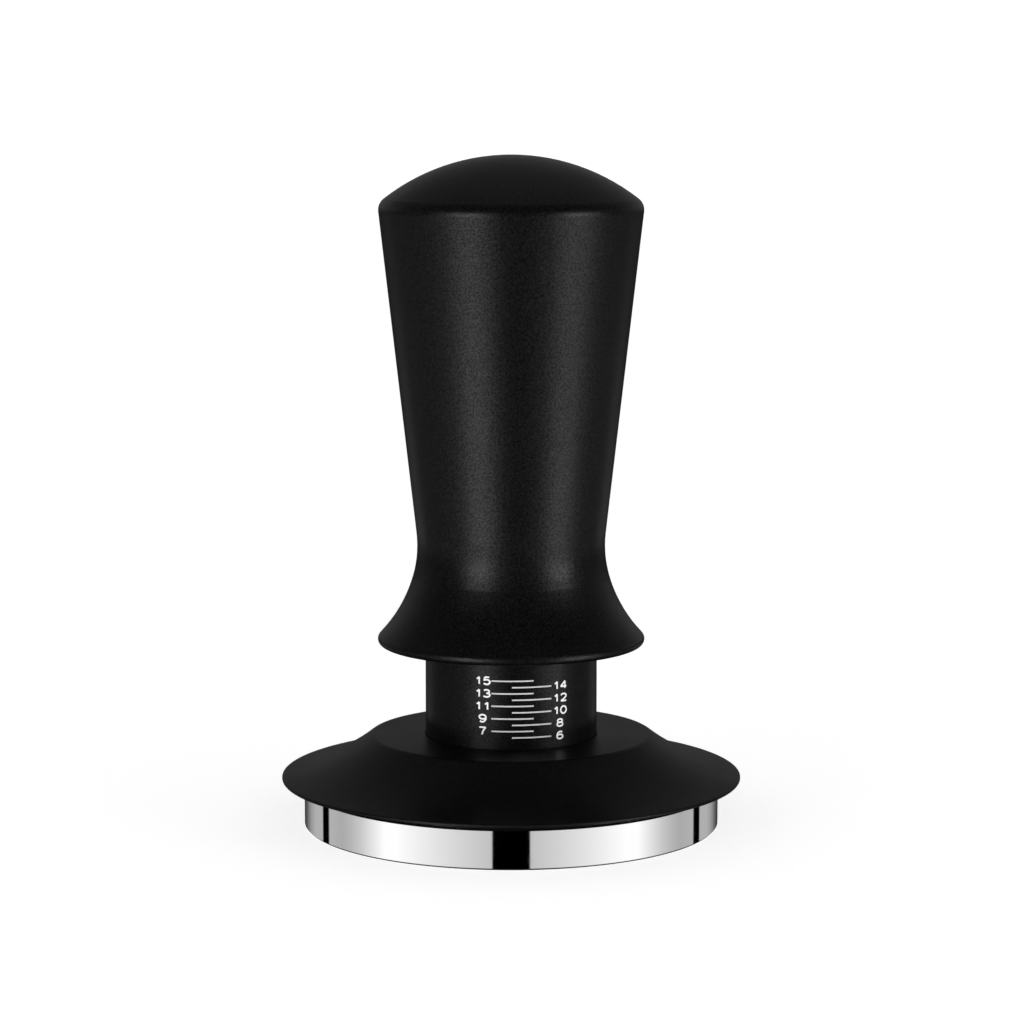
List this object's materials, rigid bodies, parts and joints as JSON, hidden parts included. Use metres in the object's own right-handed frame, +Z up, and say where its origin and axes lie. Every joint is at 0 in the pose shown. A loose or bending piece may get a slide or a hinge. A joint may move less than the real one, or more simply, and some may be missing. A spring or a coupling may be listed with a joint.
{
  "type": "espresso tamper",
  "caption": "Hand tamper with a flat polished base, a sliding levelling plate on a marked neck, and a spring-loaded flared handle with a domed top.",
  "frame": {"origin": "centre of the tamping face, on the surface that the tamper stands on", "axes": "+Z up along the tamper's axis, towards the domed top of the handle; +X to the right and -Y towards someone who reads the scale"},
  "size_m": [0.0646, 0.0646, 0.0939],
  "materials": {
    "polished_steel": "mirror-polished stainless steel",
    "black_metal": "fine sand-textured matte black coating on aluminium",
    "turned_steel": "turned stainless steel",
    "dark_steel": "oil-blackened spring steel",
    "spring_steel": "drawn spring wire with ground ends",
    "bronze": "turned bronze",
    "white_polymer": "machined acetal",
    "seal_rubber": "soft silicone rubber"
  },
  "bodies": {
    "base": {"tamping_base": "polished_steel", "sleeve_seal": "seal_rubber", "plate_bumper_ring": "seal_rubber", "centre_shaft": "turned_steel", "scale_sleeve": "black_metal", "sleeve_clamp_nut": "turned_steel", "bottoming_washer": "white_polymer", "stop_washer": "white_polymer", "spring_collar": "turned_steel", "collar_set_screws": "dark_steel", "main_spring": "spring_steel"},
    "plate_carrier": {"plate_bushing": "white_polymer", "plate_drag_ring": "seal_rubber"},
    "plate": {"levelling_plate": "black_metal", "plate_snap_ring": "dark_steel"},
    "spring_seat": {"upper_spring_seat": "turned_steel", "preload_shims": "turned_steel", "thrust_washer": "white_polymer"},
    "handle": {"handle_shell": "black_metal", "guide_bush": "bronze", "guide_bush_liner": "white_polymer", "bush_retaining_ring": "dark_steel", "wiper_ring": "seal_rubber"}
  },
  "joints": [
    {"name": "plate_slide", "type": "slide", "parent": "base", "child": "plate_carrier", "axis": [0, 0, 1], "range_m": [0, 0.00962]},
    {"name": "plate_spin", "type": "hinge", "parent": "plate_carrier", "child": "plate", "pos_m": [0, 0, 0.01], "axis": [0, 0, 1], "continuous": true},
    {"name": "handle_press", "type": "slide", "parent": "base", "child": "spring_seat", "axis": [0, 0, 1], "range_m": [-0.003, 0], "stiffness_N_per_m": 20000, "springref_m": 0.00365, "deforming": ["main_spring"]},
    {"name": "handle_spin", "type": "hinge", "parent": "spring_seat", "child": "handle", "pos_m": [0, 0, 0.06], "axis": [0, 0, 1], "continuous": true}
  ]
}
